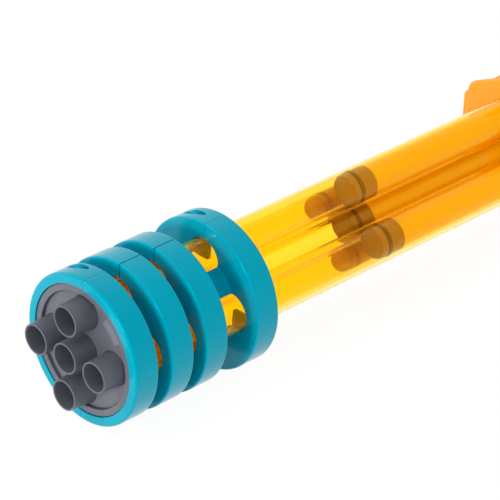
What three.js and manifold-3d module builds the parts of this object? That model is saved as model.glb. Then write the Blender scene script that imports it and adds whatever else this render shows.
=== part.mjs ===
// Pump action water squirter with five barrels, in millimetres.
// The barrels lie along X with the nozzles at the low end, +Z is up and -Y is the left hand side.
// Five pistons on five plunger tubes slide together inside the barrels, moved by the rear handle.
import * as THREE from "three";
import { mergeVertices } from "three/addons/utils/BufferGeometryUtils.js";
import Module from "manifold-3d";

const wasm = await Module();
wasm.setup();

// Barrels: one in the middle and four round it
const BARREL_PITCH = 22; // from the middle barrel's axis to the others
const BARREL_RADIUS = 10.7;
const BARREL_WALL = 1;
const BARREL_LENGTH = 410;

// Fits
const FIT_GAP = 0.3; // between pieces that are glued, clamped or seated
const BARREL_HOLE_GAP = 0.45; // round a barrel that passes through a wall
const SLIDE_GAP = 0.25; // round a plunger tube in its guide
const SEAL_GAP = 0.1; // between a piston seal and the bore
const SEAM_GAP = 0.3; // between the two halves of a shell
const OPEN_SEAM = 0.7; // the wider seam that shows on the two middle rings

// Nozzles: each one is a plug for the front end of its barrel
const NOZZLE_LENGTH = 13.7; // from the mouth to the floor of the front plate
const NOZZLE_MOUTH_RADIUS = 8.5;
const NOZZLE_BASE_RADIUS = 9;
const NOZZLE_WALL = 1;
const NOZZLE_FLANGE = 2;
const NOZZLE_FLOOR = 3;
const ORIFICE_RADIUS = 2;
const SPIGOT_LENGTH = 8;

// Front plate, a round grey cover with a raised rim
const PLATE_RADIUS = 35.5;
const PLATE_RIM_WIDTH = 3.6;
const PLATE_RIM_HEIGHT = 1.8;
const PLATE_THICKNESS = 2.7;
const PLATE_LIP = 1.8; // the edge that the front ring holds
const TAB_WIDTH = 4.3; // the short arc by which the rim reaches inwards
const TAB_LENGTH = 14.7;

// Ring cage: a two part skin with four rings and a narrow core between them
const CAGE_PROUD = 0.7; // how far the front ring stands in front of the plate's rim
const FRONT_RING_LENGTH = 14.9;
const RING_LENGTH = 13.5;
const BACK_RING_LENGTH = 14.5;
const FRONT_GROOVE = 10.1;
const MIDDLE_GROOVE = 9.6;
const BACK_GROOVE = 19.8;
const RING_OVERLAP = 5.8; // how far the rings reach out beyond the plate's rim
const BACK_RING_SWELL = 0.7; // how much larger the last ring is
const CORE_RADIUS = 24.5;
const CAGE_WALL = 2.2;
const FRONT_RING_ROUND = 3;
const RING_FRONT_ROUND = 1.2;
const RING_BACK_ROUND = 1;
const LEDGE_WIDTH = 4; // the step behind the front plate
const SNAP_LIP = 0.5; // how much narrower a slot is than its barrel, on each side

// Screws
const SCREW_HEAD_RADIUS = 2.7;
const SCREW_HEAD_HEIGHT = 2.2;
const SCREW_RADIUS = 1.4;
const SCREW_LENGTH = 12;
const SCREW_SEAT = 4; // from the seam to the underside of the head
const SCREW_DEPTH = 3.6; // from a ring's top to the screw's axis
const LAND_MARGIN = 2; // material round a screw hole
const LAND_REACH = 16; // half the length of the solid land that a screw joins

// Pistons with their seals
const PISTON_FRONT = 193.8; // where the pistons stand at rest
const PISTON_LENGTH = 15.7;
const PISTON_RADIUS = 9;
const PISTON_ROUND = 1;
const PISTON_SOCKET = 4; // depth of the ring shaped socket for the plunger tube
const SEAL_SETBACK = 5.2; // from the piston's face to the middle of its seal
const SEAL_SECTION = 1.1; // radius of the seal's round section

// Plunger tubes
const PLUNGER_RADIUS = 8.25;
const PLUNGER_WALL = 1;

// Rear housing with its top handle and foot
const HOUSING_LENGTH = 110;
const HOUSING_WALL = 2.5;
const HOUSING_HALF_WIDTH = 36.2;
const HOUSING_RIDGE = 44.3; // height of the roof's ridge over the axis
const ROOF_ANGLE = 27.5; // degrees
const CHEEK_LOW = -27; // where the sides turn in towards the foot
const FOOT_HALF_WIDTH = 22;
const FOOT_DEPTH = 9.3; // from the lowest barrel down to the foot, for the foot's screws
const HOUSING_CORNER = 5; // length of a rounded corner along each side
const HOUSING_EDGE = 1.5;
const PAD_PROUD = 3.3; // raised panel on each cheek
const PAD_HALF_HEIGHT = 19;
const PAD_SINK = 3;
const PAD_SETBACK = 1;
const END_PLATE_THICKNESS = 7;
const SOCKET_DEPTH = 3;

// Handles, both of them rounded loops
const LOOP_DEPTH = 26;
const LOOP_EDGE = 3;
const TOP_LEG = 14;
const TOP_LEG_SETBACK = 8;
const TOP_LEAN = 6; // how far the legs lean in towards the bar
const TOP_GAP_HEIGHT = 30;
const TOP_BAR = 13;
const TOP_CORNER = 16;
const TOP_GAP_CORNER = 10;
const TOP_ROOT = 8; // how far the loop reaches down into the roof
const HUB_RADIUS = 38;
const HUB_LENGTH = 40;
const HUB_WALL = 2.5;
const HUB_ROUND = 4;
const CARRIER_THICKNESS = 6;
const CARRIER_RIB = 2;
const CARRIER_RIB_HEIGHT = 3;
const GRIP_HALF_HEIGHT = 41;
const GRIP_FRAME = 11;
const GRIP_GAP_DEPTH = 34;
const GRIP_BAR = 24;
const GRIP_CORNER = 24;
const GRIP_GAP_CORNER = 11;
const GRIP_ROOT = 3; // wall between the hub and the finger gap

// Pump travel
const PUSH_STROKE = 160; // from rest to fully pushed in
const PUSH_SPARE = 2; // space left between the hub and the housing when pushed in

// Facets
const TUBE_SEGMENTS = 14;
const RING_SEGMENTS = 28;
const SCREW_SEGMENTS = 8;
const SEAL_SIDES = 5;
const CORNER_STEPS = 2;
const ROUND_STEPS = 2; // in a rounded edge of a turned piece
const EDGE_STEPS = 1; // in a softened edge of an extruded piece
const REACH = 2000; // half the side of a cutting block, larger than the toy

// Places along X that follow from the sizes above
const floorX = NOZZLE_LENGTH;
const rimX = floorX - PLATE_RIM_HEIGHT;
const plateBack = floorX + PLATE_THICKNESS;
const flangeBack = plateBack + FIT_GAP + NOZZLE_FLANGE;
const barrelFront = flangeBack + FIT_GAP;
const barrelBack = barrelFront + BARREL_LENGTH;
const endPlateFront = barrelBack + FIT_GAP - SOCKET_DEPTH;
const endPlateBack = endPlateFront + END_PLATE_THICKNESS;
const housingBack = endPlateBack + FIT_GAP + HOUSING_WALL;
const housingFront = housingBack - HOUSING_LENGTH;
const pistonBack = PISTON_FRONT + PISTON_LENGTH;
const socketX = pistonBack - PISTON_SOCKET;
const hubFront = housingBack + PUSH_STROKE + PUSH_SPARE;
const hubBack = hubFront + HUB_LENGTH;
const carrierBack = hubBack - HUB_WALL - FIT_GAP;
const carrierFront = carrierBack - CARRIER_THICKNESS;
const plungerBack = carrierFront + SOCKET_DEPTH - FIT_GAP;
const gripBack = hubBack + GRIP_ROOT + GRIP_GAP_DEPTH + GRIP_BAR;
const ringRadius = PLATE_RADIUS + RING_OVERLAP;
const backRingRadius = ringRadius + BACK_RING_SWELL;
const footLevel = -(BARREL_PITCH + BARREL_RADIUS + FOOT_DEPTH);
const restLevel = Math.min(footLevel, -backRingRadius);

const boreRadius = BARREL_RADIUS - BARREL_WALL;
const barrelHole = BARREL_RADIUS + BARREL_HOLE_GAP;
const plungerBore = PLUNGER_RADIUS - PLUNGER_WALL;

const seats = {
  center: [0, 0],
  top: [0, BARREL_PITCH],
  bottom: [0, -BARREL_PITCH],
  left: [-BARREL_PITCH, 0],
  right: [BARREL_PITCH, 0],
};

const squirter = new THREE.Group();

// Geometry helpers

function solid(geometry) {
  const bare = new THREE.BufferGeometry();
  bare.setAttribute("position", geometry.getAttribute("position"));
  bare.setIndex(geometry.index);
  const merged = mergeVertices(bare, 1e-4);
  const corners = merged.index.array;
  const faces = [];
  for (let i = 0; i < corners.length; i += 3) {
    const [a, b, c] = corners.slice(i, i + 3);
    if (a !== b && b !== c && c !== a) faces.push(a, b, c);
  }
  return new wasm.Manifold(
    new wasm.Mesh({
      numProp: 3,
      vertProperties: merged.attributes.position.array,
      triVerts: new Uint32Array(faces),
    }),
  );
}

function surface(body) {
  const mesh = body.getMesh();
  const geometry = new THREE.BufferGeometry();
  geometry.setAttribute("position", new THREE.BufferAttribute(mesh.vertProperties, mesh.numProp));
  geometry.setIndex(new THREE.BufferAttribute(mesh.triVerts, 1));
  geometry.computeVertexNormals();
  return geometry;
}

// A profile of [radius, x] points turned about the X axis.
function revolve(profile, segments) {
  const points = profile.map(([radius, x]) => new THREE.Vector2(radius, x));
  return new THREE.LatheGeometry(points, segments).rotateZ(-Math.PI / 2);
}

function rod(radius, from, to, segments = TUBE_SEGMENTS) {
  return revolve([[0, from], [radius, from], [radius, to], [0, to]], segments);
}

// Points of a rounded outer corner in a turned profile, from one angle to another.
function roundCorner(radius, x, size, fromAngle, toAngle) {
  const points = [];
  for (let step = 0; step <= ROUND_STEPS; step += 1) {
    const angle = THREE.MathUtils.degToRad(fromAngle + ((toAngle - fromAngle) * step) / ROUND_STEPS);
    points.push([radius + size * Math.sin(angle), x + size * Math.cos(angle)]);
  }
  return points;
}

// A closed outline through corner points, each corner rounded by its own length.
function outline(corners, lengths, target = new THREE.Shape()) {
  corners.forEach((corner, i) => {
    const before = corners[(i + corners.length - 1) % corners.length];
    const after = corners[(i + 1) % corners.length];
    const enter = corner.clone().lerp(before, lengths[i] / corner.distanceTo(before));
    const leave = corner.clone().lerp(after, lengths[i] / corner.distanceTo(after));
    if (i === 0) target.moveTo(enter.x, enter.y);
    else target.lineTo(enter.x, enter.y);
    if (lengths[i] > 0) target.quadraticCurveTo(corner.x, corner.y, leave.x, leave.y);
  });
  target.closePath();
  return target;
}

// The same corners moved in by a wall's thickness, for a counterclockwise outline.
function inset(corners, wall) {
  return corners.map((corner, i) => {
    const before = corners[(i + corners.length - 1) % corners.length];
    const after = corners[(i + 1) % corners.length];
    const into = corner.clone().sub(before).normalize();
    const out = after.clone().sub(corner).normalize();
    const shift = new THREE.Vector2(-into.y - out.y, into.x + out.x).normalize();
    const lean = shift.dot(new THREE.Vector2(-into.y, into.x));
    return corner.clone().addScaledVector(shift, wall / lean);
  });
}

function extruded(shape, depth, edge) {
  return new THREE.ExtrudeGeometry(shape, {
    depth: depth - 2 * edge,
    curveSegments: CORNER_STEPS,
    bevelEnabled: edge > 0,
    bevelThickness: edge,
    bevelSize: edge,
    bevelOffset: -edge,
    bevelSegments: EDGE_STEPS,
  }).translate(0, 0, edge);
}

// A shape drawn in Y and Z, extruded along X.
function alongX(shape, from, to, edge = 0) {
  const turn = new THREE.Matrix4().makeBasis(
    new THREE.Vector3(0, 1, 0),
    new THREE.Vector3(0, 0, 1),
    new THREE.Vector3(1, 0, 0),
  );
  return extruded(shape, to - from, edge).applyMatrix4(turn).translate(from, 0, 0);
}

// A shape drawn in X and Z, extruded along Y to both sides of the seam.
function acrossY(shape, depth, edge) {
  return extruded(shape, depth, edge).rotateX(Math.PI / 2).translate(0, depth / 2, 0);
}

function block(from, to) {
  const size = to.map((value, i) => value - from[i]);
  return new THREE.BoxGeometry(...size).translate(...from.map((value, i) => value + size[i] / 2));
}

function joined(...geometries) {
  return geometries.map(solid).reduce((sum, piece) => sum.add(piece));
}

function cut(body, geometries) {
  return geometries.reduce((rest, tool) => rest.subtract(solid(tool)), body);
}

function atEverySeat(make) {
  return Object.values(seats).map(([y, z]) => make().translate(0, y, z));
}

function leftHalf(body) {
  return body.intersect(solid(block([-REACH, -REACH, -REACH], [REACH, -SEAM_GAP / 2, REACH])));
}

function rightHalf(body) {
  return body.intersect(solid(block([-REACH, SEAM_GAP / 2, -REACH], [REACH, REACH, REACH])));
}

function place(parent, name, geometry, material, position = [0, 0, 0]) {
  const mesh = new THREE.Mesh(geometry, material);
  mesh.name = name;
  mesh.position.set(...position);
  parent.add(mesh);
  return mesh;
}

// Finishes

function clearOrange() {
  return new THREE.MeshStandardMaterial({
    color: 0xffb400,
    roughness: 0.08,
    metalness: 0,
    transparent: true,
    opacity: 0.45,
  });
}

function plastic(color, roughness) {
  return new THREE.MeshStandardMaterial({ color, roughness, metalness: 0 });
}

const tealPlastic = () => plastic(0x0e9fb9, 0.3);
const orangePlastic = () => plastic(0xf9a13c, 0.4);
const greyPlastic = () => plastic(0x5f636d, 0.45);
const sealRubber = () => plastic(0x202022, 0.7);
const steel = () => new THREE.MeshStandardMaterial({ color: 0xb8bcc0, roughness: 0.3, metalness: 1 });

// Screws, which all lie along Y and go in from the right hand side

function screwGeometry() {
  const headTop = SCREW_HEAD_HEIGHT;
  const profile = [
    [0, -SCREW_LENGTH],
    [SCREW_RADIUS, SCREW_RADIUS - SCREW_LENGTH],
    [SCREW_RADIUS, 0],
    [SCREW_HEAD_RADIUS, 0],
    [SCREW_HEAD_RADIUS, headTop / 2],
    [SCREW_HEAD_RADIUS / 2, headTop],
    [0, headTop],
  ];
  return revolve(profile, SCREW_SEGMENTS);
}

function screwHole(x, z, reach) {
  const tip = SCREW_SEAT - SCREW_LENGTH - FIT_GAP;
  const shank = rod(SCREW_RADIUS + FIT_GAP, tip, SCREW_SEAT, SCREW_SEGMENTS);
  const head = rod(SCREW_HEAD_RADIUS + FIT_GAP, SCREW_SEAT - FIT_GAP, reach, SCREW_SEGMENTS);
  const turn = Math.PI / 2;
  return [shank, head].map((tool) => tool.rotateZ(turn).translate(x, 0, z));
}

function placeScrew(parent, name, x, z) {
  const screw = place(parent, name, screwGeometry(), steel(), [x, SCREW_SEAT, z]);
  screw.rotation.z = Math.PI / 2;
}

// Front plate and nozzles

function frontPlate() {
  const rimInner = PLATE_RADIUS - PLATE_RIM_WIDTH;
  const plate = revolve(
    [
      [0, floorX],
      [rimInner, floorX],
      [rimInner, rimX],
      [PLATE_RADIUS, rimX],
      [PLATE_RADIUS, floorX],
      [PLATE_RADIUS + PLATE_LIP, floorX],
      [PLATE_RADIUS + PLATE_LIP, plateBack],
      [0, plateBack],
    ],
    RING_SEGMENTS,
  );
  const tabOuter = rimInner + PLATE_RIM_WIDTH / 2;
  const tabInner = rimInner - TAB_WIDTH;
  const halfAngle = TAB_LENGTH / 2 / rimInner;
  const middle = (3 * Math.PI) / 4;
  const tab = new THREE.Shape();
  tab.absarc(0, 0, tabOuter, middle - halfAngle, middle + halfAngle, false);
  tab.absarc(0, 0, tabInner, middle + halfAngle, middle - halfAngle, true);
  tab.closePath();
  const raised = joined(plate, alongX(tab, rimX, (floorX + plateBack) / 2));
  const holes = atEverySeat(() => rod(NOZZLE_BASE_RADIUS + FIT_GAP, 0, REACH));
  return surface(cut(raised, holes));
}

function nozzle() {
  const spigotRadius = boreRadius - FIT_GAP;
  const spigotBack = flangeBack + SPIGOT_LENGTH;
  const floorFront = flangeBack - NOZZLE_FLOOR;
  const mouthBore = NOZZLE_MOUTH_RADIUS - NOZZLE_WALL;
  return revolve(
    [
      [ORIFICE_RADIUS, spigotBack],
      [ORIFICE_RADIUS, floorFront],
      [mouthBore, floorFront],
      [mouthBore, 0],
      [NOZZLE_MOUTH_RADIUS, 0],
      [NOZZLE_BASE_RADIUS, floorX],
      [NOZZLE_BASE_RADIUS, flangeBack - NOZZLE_FLANGE],
      [BARREL_RADIUS, flangeBack - NOZZLE_FLANGE],
      [BARREL_RADIUS, flangeBack],
      [spigotRadius, flangeBack],
      [spigotRadius, spigotBack],
      [ORIFICE_RADIUS, spigotBack],
    ],
    TUBE_SEGMENTS,
  );
}

// Ring cage

const rings = [];
let ringStart = rimX - CAGE_PROUD;
for (const [length, radius, round, groove] of [
  [FRONT_RING_LENGTH, ringRadius, FRONT_RING_ROUND, FRONT_GROOVE],
  [RING_LENGTH, ringRadius, RING_FRONT_ROUND, MIDDLE_GROOVE],
  [RING_LENGTH, ringRadius, RING_FRONT_ROUND, BACK_GROOVE],
  [BACK_RING_LENGTH, backRingRadius, RING_FRONT_ROUND, 0],
]) {
  rings.push({ start: ringStart, end: ringStart + length, radius, round });
  ringStart += length + groove;
}
const [frontRing, secondRing, thirdRing, backRing] = rings;
const ledgeX = plateBack + FIT_GAP;

function cageOutside() {
  const points = [];
  rings.forEach((ring, i) => {
    if (i > 0) points.push([CORE_RADIUS, rings[i - 1].end], [CORE_RADIUS, ring.start]);
    const back = RING_BACK_ROUND;
    points.push(...roundCorner(ring.radius - ring.round, ring.start + ring.round, ring.round, 180, 90));
    points.push([ring.radius, ring.end - back], [ring.radius - back, ring.end]);
  });
  return points;
}

function cageInside() {
  const lipRadius = PLATE_RADIUS + PLATE_LIP + FIT_GAP;
  const lipFront = floorX - FIT_GAP;
  const points = [
    [PLATE_RADIUS + FIT_GAP, frontRing.start],
    [PLATE_RADIUS + FIT_GAP, lipFront],
    [lipRadius, lipFront],
    [lipRadius, ledgeX],
    [lipRadius - LEDGE_WIDTH - PLATE_LIP, ledgeX],
    [lipRadius - LEDGE_WIDTH - PLATE_LIP, ledgeX + CAGE_WALL],
    [frontRing.radius - CAGE_WALL, ledgeX + CAGE_WALL],
  ];
  rings.forEach((ring, i) => {
    const inner = ring.radius - CAGE_WALL;
    if (i > 0) points.push([inner, ring.start + CAGE_WALL]);
    points.push([inner, ring.end - CAGE_WALL]);
    if (ring === backRing) return;
    const core = CORE_RADIUS - CAGE_WALL;
    points.push([core, ring.end - CAGE_WALL], [core, rings[i + 1].start + CAGE_WALL]);
  });
  points.push([0, backRing.end - CAGE_WALL]);
  return points;
}

// Each screw of the cage runs through a solid land in the top or bottom of the front or back ring.
const cageScrews = [];
for (const [side, up] of [["top", 1], ["bottom", -1]]) {
  for (const [end, ring, low] of [["front", frontRing, ledgeX], ["back", backRing, backRing.start]]) {
    cageScrews.push({ name: `cage_screw_${end}_${side}`, ring, low, up, x: (low + ring.end) / 2 });
  }
}

function screwLand({ ring, low, up, x }) {
  const axisZ = ring.radius - SCREW_DEPTH;
  const halfLength = SCREW_HEAD_RADIUS + LAND_MARGIN;
  const from = Math.max(low + CAGE_WALL / 2, x - halfLength);
  const to = Math.min(ring.end - CAGE_WALL / 2, x + halfLength);
  const base = axisZ - SCREW_HEAD_RADIUS - LAND_MARGIN;
  const heights = [up * base, up * ring.radius].sort((a, b) => a - b);
  const land = solid(block([from, -LAND_REACH, heights[0]], [to, LAND_REACH, heights[1]]));
  return land.intersect(solid(rod(ring.radius - CAGE_WALL / 2, from, to, RING_SEGMENTS)));
}

// The barrels snap into the halves from the seam, through slots that make a cross in each wall.
function barrelSlots() {
  const half = BARREL_RADIUS - SNAP_LIP;
  const from = ledgeX - FIT_GAP;
  const upright = block([from, -half, -BARREL_PITCH], [REACH, half, BARREL_PITCH]);
  const level = block([from, -BARREL_PITCH, -half], [REACH, BARREL_PITCH, half]);
  return [upright, level];
}

function cage() {
  const outside = cageOutside().reverse();
  let body = solid(revolve([[0, backRing.end], ...outside, ...cageInside()].reverse(), RING_SEGMENTS));
  for (const screw of cageScrews) body = body.add(screwLand(screw));
  const tools = atEverySeat(() => rod(barrelHole, ledgeX - FIT_GAP, REACH));
  tools.push(...barrelSlots());
  for (const { ring, up, x } of cageScrews) {
    tools.push(...screwHole(x, up * (ring.radius - SCREW_DEPTH), ring.radius));
  }
  for (const ring of [secondRing, thirdRing]) {
    const half = OPEN_SEAM / 2;
    tools.push(block([ring.start, -half, -ring.radius], [ring.end, half, ring.radius]));
  }
  return cut(body, tools);
}

// Barrels, pistons, seals and plunger tubes

function pipe(radius, wall, from, to) {
  const inner = radius - wall;
  const ends = [[inner, to], [inner, from], [radius, from], [radius, to], [inner, to]];
  return revolve(ends, TUBE_SEGMENTS);
}

function piston() {
  const socketInner = plungerBore - FIT_GAP;
  const socketOuter = PLUNGER_RADIUS + FIT_GAP;
  const sealX = PISTON_FRONT + SEAL_SETBACK;
  const half = SEAL_SECTION + FIT_GAP;
  const groove = boreRadius - SEAL_GAP - 2 * SEAL_SECTION - FIT_GAP;
  return revolve(
    [
      [0, PISTON_FRONT],
      [PISTON_RADIUS - PISTON_ROUND, PISTON_FRONT],
      [PISTON_RADIUS, PISTON_FRONT + PISTON_ROUND],
      [PISTON_RADIUS, sealX - half],
      [groove, sealX - half],
      [groove, sealX + half],
      [PISTON_RADIUS, sealX + half],
      [PISTON_RADIUS, pistonBack],
      [socketOuter, pistonBack],
      [socketOuter, socketX],
      [socketInner, socketX],
      [socketInner, pistonBack],
      [0, pistonBack],
    ],
    TUBE_SEGMENTS,
  );
}

function pistonSeal() {
  const middle = boreRadius - SEAL_GAP - SEAL_SECTION;
  const points = [];
  for (let side = 0; side <= SEAL_SIDES; side += 1) {
    const angle = (2 * Math.PI * side) / SEAL_SIDES;
    const x = PISTON_FRONT + SEAL_SETBACK + SEAL_SECTION * Math.sin(angle);
    points.push([middle + SEAL_SECTION * Math.cos(angle), x]);
  }
  return revolve(points, TUBE_SEGMENTS);
}

// Rear housing

const point = (y, z) => new THREE.Vector2(y, z);
const roofSlope = Math.tan(THREE.MathUtils.degToRad(ROOF_ANGLE));
const shoulder = HOUSING_RIDGE - HOUSING_HALF_WIDTH * roofSlope;
const housingCorners = [
  point(FOOT_HALF_WIDTH, footLevel),
  point(HOUSING_HALF_WIDTH, CHEEK_LOW),
  point(HOUSING_HALF_WIDTH, shoulder),
  point(0, HOUSING_RIDGE),
  point(-HOUSING_HALF_WIDTH, shoulder),
  point(-HOUSING_HALF_WIDTH, CHEEK_LOW),
  point(-FOOT_HALF_WIDTH, footLevel),
];
const housingRounds = housingCorners.map(() => HOUSING_CORNER);

function housingInside(gap) {
  return outline(inset(housingCorners, HOUSING_WALL + gap), housingRounds);
}

function cheekPad() {
  const outer = HOUSING_HALF_WIDTH + PAD_PROUD;
  const inner = HOUSING_HALF_WIDTH - PAD_SINK;
  const corners = [
    point(inner, -PAD_HALF_HEIGHT),
    point(outer, -PAD_HALF_HEIGHT),
    point(outer, PAD_HALF_HEIGHT),
    point(inner, PAD_HALF_HEIGHT),
  ];
  const section = outline(corners, [0, PAD_PROUD, PAD_PROUD, 0]);
  return alongX(section, housingFront + PAD_SETBACK, housingBack - PAD_SETBACK, HOUSING_EDGE);
}

const topGapLow = HOUSING_RIDGE;
const topBarLow = topGapLow + TOP_GAP_HEIGHT;
const topBarHigh = topBarLow + TOP_BAR;
const topFront = housingFront + TOP_LEG_SETBACK;
const topBack = housingBack - TOP_LEG_SETBACK;

function topLoop() {
  const root = HOUSING_RIDGE - TOP_ROOT;
  const outer = outline(
    [
      point(topFront, root),
      point(topBack, root),
      point(topBack - TOP_LEAN, topBarHigh),
      point(topFront + TOP_LEAN, topBarHigh),
    ],
    [0, 0, TOP_CORNER, TOP_CORNER],
  );
  const gapCorners = [
    point(topFront + TOP_LEG, topGapLow),
    point(topBack - TOP_LEG, topGapLow),
    point(topBack - TOP_LEG - TOP_LEAN / 2, topBarLow),
    point(topFront + TOP_LEG + TOP_LEAN / 2, topBarLow),
  ];
  outer.holes.push(outline(gapCorners, gapCorners.map(() => TOP_GAP_CORNER), new THREE.Path()));
  return acrossY(outer, LOOP_DEPTH, LOOP_EDGE);
}

const footScrewZ = footLevel + HOUSING_WALL + SCREW_HEAD_RADIUS + FIT_GAP;
const legMiddle = TOP_LEG_SETBACK + TOP_LEG / 2 + TOP_LEAN / 4;
const legScrewZ = topGapLow + TOP_GAP_HEIGHT / 3;
const housingScrews = [
  { name: "housing_screw_foot_front", x: housingFront + legMiddle, z: footScrewZ },
  { name: "housing_screw_foot_back", x: housingBack - legMiddle, z: footScrewZ },
  { name: "housing_screw_leg_front", x: housingFront + legMiddle, z: legScrewZ },
  { name: "housing_screw_leg_back", x: housingBack - legMiddle, z: legScrewZ },
];

function footLand({ x, z }) {
  const half = SCREW_HEAD_RADIUS + LAND_MARGIN;
  const low = footLevel + HOUSING_WALL / 2;
  return block([x - half, -LAND_REACH, low], [x + half, LAND_REACH, z + half]);
}

function housing() {
  const outside = alongX(outline(housingCorners, housingRounds), housingFront, housingBack, HOUSING_EDGE);
  const pad = solid(cheekPad());
  const inside = alongX(housingInside(0), housingFront + HOUSING_WALL, housingBack - HOUSING_WALL);
  let body = joined(outside, topLoop()).add(pad).add(pad.mirror([0, 1, 0]));
  body = cut(body, [inside]);
  for (const screw of housingScrews.slice(0, 2)) body = body.add(solid(footLand(screw)));
  const tools = atEverySeat(() => rod(barrelHole, 0, endPlateFront));
  tools.push(...atEverySeat(() => rod(PLUNGER_RADIUS + 2 * SLIDE_GAP, endPlateFront, REACH)));
  for (const { x, z } of housingScrews) tools.push(...screwHole(x, z, HOUSING_HALF_WIDTH));
  return cut(body, tools);
}

function barrelEndPlate() {
  const plate = solid(alongX(housingInside(FIT_GAP), endPlateFront, endPlateBack));
  const sockets = atEverySeat(() => rod(barrelHole, 0, endPlateFront + SOCKET_DEPTH));
  const guides = atEverySeat(() => rod(PLUNGER_RADIUS + SLIDE_GAP, 0, REACH));
  return surface(cut(plate, [...sockets, ...guides]));
}

// Plunger handle: a round hub with a loop to pull and push

function gripLoop() {
  const front = hubBack - HUB_ROUND - HUB_WALL;
  const gapFront = hubBack + GRIP_ROOT;
  const gapBack = gapFront + GRIP_GAP_DEPTH;
  const gapHalf = GRIP_HALF_HEIGHT - GRIP_FRAME;
  const outer = outline(
    [
      point(front, -HUB_RADIUS),
      point(hubBack + GRIP_ROOT, -GRIP_HALF_HEIGHT),
      point(gripBack, -GRIP_HALF_HEIGHT),
      point(gripBack, GRIP_HALF_HEIGHT),
      point(hubBack + GRIP_ROOT, GRIP_HALF_HEIGHT),
      point(front, HUB_RADIUS),
    ],
    [0, GRIP_ROOT, GRIP_CORNER, GRIP_CORNER, GRIP_ROOT, 0],
  );
  const gapCorners = [
    point(gapFront, -gapHalf),
    point(gapBack, -gapHalf),
    point(gapBack, gapHalf),
    point(gapFront, gapHalf),
  ];
  outer.holes.push(outline(gapCorners, gapCorners.map(() => GRIP_GAP_CORNER), new THREE.Path()));
  return acrossY(outer, LOOP_DEPTH, LOOP_EDGE);
}

const gripScrewZ = GRIP_HALF_HEIGHT - GRIP_FRAME / 2;
const gripScrews = [];
for (const [side, up] of [["top", 1], ["bottom", -1]]) {
  gripScrews.push({ name: `grip_screw_front_${side}`, x: hubBack + GRIP_FRAME, z: up * gripScrewZ });
  gripScrews.push({ name: `grip_screw_back_${side}`, x: gripBack - GRIP_BAR, z: up * gripScrewZ });
}

function handle() {
  const hub = revolve(
    [
      [0, hubFront],
      ...roundCorner(HUB_RADIUS - HUB_ROUND, hubFront + HUB_ROUND, HUB_ROUND, 180, 90),
      ...roundCorner(HUB_RADIUS - HUB_ROUND, hubBack - HUB_ROUND, HUB_ROUND, 90, 0),
      [0, hubBack],
    ],
    RING_SEGMENTS,
  );
  const roomRadius = HUB_RADIUS - HUB_WALL;
  const ribRadius = roomRadius - CARRIER_RIB_HEIGHT;
  const ribBack = carrierFront - FIT_GAP;
  const room = revolve(
    [
      [0, hubFront + HUB_WALL],
      [roomRadius - HUB_ROUND, hubFront + HUB_WALL],
      [roomRadius, hubFront + HUB_WALL + HUB_ROUND],
      [roomRadius, ribBack - CARRIER_RIB],
      [ribRadius, ribBack - CARRIER_RIB],
      [ribRadius, ribBack],
      [roomRadius - HUB_ROUND / 2, ribBack],
      [roomRadius - HUB_ROUND / 2, hubBack - HUB_WALL],
      [0, hubBack - HUB_WALL],
    ],
    RING_SEGMENTS,
  );
  const tools = [room, ...atEverySeat(() => rod(PLUNGER_RADIUS + FIT_GAP, 0, carrierFront))];
  for (const { x, z } of gripScrews) tools.push(...screwHole(x, z, LOOP_DEPTH));
  return cut(joined(hub, gripLoop()), tools);
}

function plungerCarrier() {
  const radius = HUB_RADIUS - HUB_WALL - HUB_ROUND / 2 - FIT_GAP;
  const disc = solid(rod(radius, carrierFront, carrierBack, RING_SEGMENTS));
  const sockets = atEverySeat(() => rod(PLUNGER_RADIUS + FIT_GAP, 0, carrierFront + SOCKET_DEPTH));
  return surface(cut(disc, sockets));
}

// Assembly: the origin lies on the ground below the middle of the toy's length

squirter.position.set(-gripBack / 2, 0, -restLevel);
const toy = new THREE.Group();
toy.add(squirter);

place(squirter, "front_plate", frontPlate(), greyPlastic());
for (const [seat, [y, z]] of Object.entries(seats)) {
  const at = [0, y, z];
  const barrel = pipe(BARREL_RADIUS, BARREL_WALL, barrelFront, barrelBack);
  const plunger = pipe(PLUNGER_RADIUS, PLUNGER_WALL, socketX + FIT_GAP, plungerBack);
  place(squirter, `nozzle_${seat}`, nozzle(), greyPlastic(), at);
  place(squirter, `barrel_${seat}`, barrel, clearOrange(), at);
  place(squirter, `piston_${seat}`, piston(), greyPlastic(), at);
  place(squirter, `piston_seal_${seat}`, pistonSeal(), sealRubber(), at);
  place(squirter, `plunger_${seat}`, plunger, clearOrange(), at);
}

const cageBody = cage();
place(squirter, "cage_left", surface(leftHalf(cageBody)), tealPlastic());
place(squirter, "cage_right", surface(rightHalf(cageBody)), tealPlastic());
for (const { name, ring, up, x } of cageScrews) {
  placeScrew(squirter, name, x, up * (ring.radius - SCREW_DEPTH));
}

const housingBody = housing();
place(squirter, "housing_left", surface(leftHalf(housingBody)), orangePlastic());
place(squirter, "housing_right", surface(rightHalf(housingBody)), orangePlastic());
place(squirter, "barrel_end_plate", barrelEndPlate(), greyPlastic());
for (const { name, x, z } of housingScrews) placeScrew(squirter, name, x, z);

const handleBody = handle();
place(squirter, "handle_left", surface(leftHalf(handleBody)), tealPlastic());
place(squirter, "handle_right", surface(rightHalf(handleBody)), tealPlastic());
place(squirter, "plunger_carrier", plungerCarrier(), greyPlastic());
for (const { name, x, z } of gripScrews) placeScrew(squirter, name, x, z);

export default toy;
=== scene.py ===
# %% [markdown]
# # A pump water squirter with five clear barrels
#
# The toy is a bundle of clear orange tubes. A teal cage of rings holds their front ends, a grey
# plate with five nozzles closes them, and an orange housing holds their rear ends. A handle at
# the back slides five pistons through the tubes. The solids of the toy are already placed in
# the frame, so this lesson gives every piece its fine surface and its finish.

# %% Load the frame
import math

import bmesh
import bpy
from mathutils import Matrix, Vector


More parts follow.
